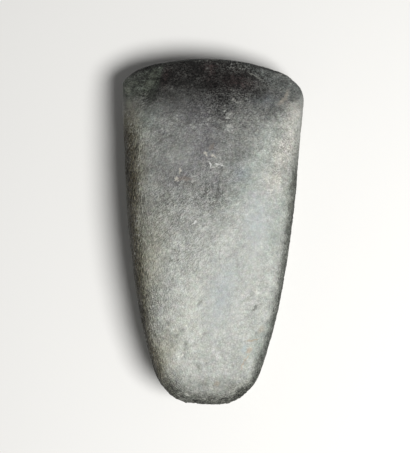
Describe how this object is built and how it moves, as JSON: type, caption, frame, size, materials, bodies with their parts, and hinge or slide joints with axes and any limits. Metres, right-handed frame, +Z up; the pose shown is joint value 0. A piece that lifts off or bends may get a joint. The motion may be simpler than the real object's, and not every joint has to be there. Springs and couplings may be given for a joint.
{
  "type": "polished stone axe head",
  "caption": "Polished stone axe head with a curved worn cutting edge, ground bevels, flattened sides and a blunt butt, lying on its broad face.",
  "frame": {"origin": "on the resting plane, under the middle of the stone's bounding box", "axes": "+X across the blade, +Y from the butt to the cutting edge, +Z up from the resting face to the upper face"},
  "size_m": [0.0688, 0.13, 0.034],
  "materials": {
    "ground_stone": "satin"
  },
  "bodies": {
    "root": {"axe_head": "ground_stone"}
  },
  "joints": []
}
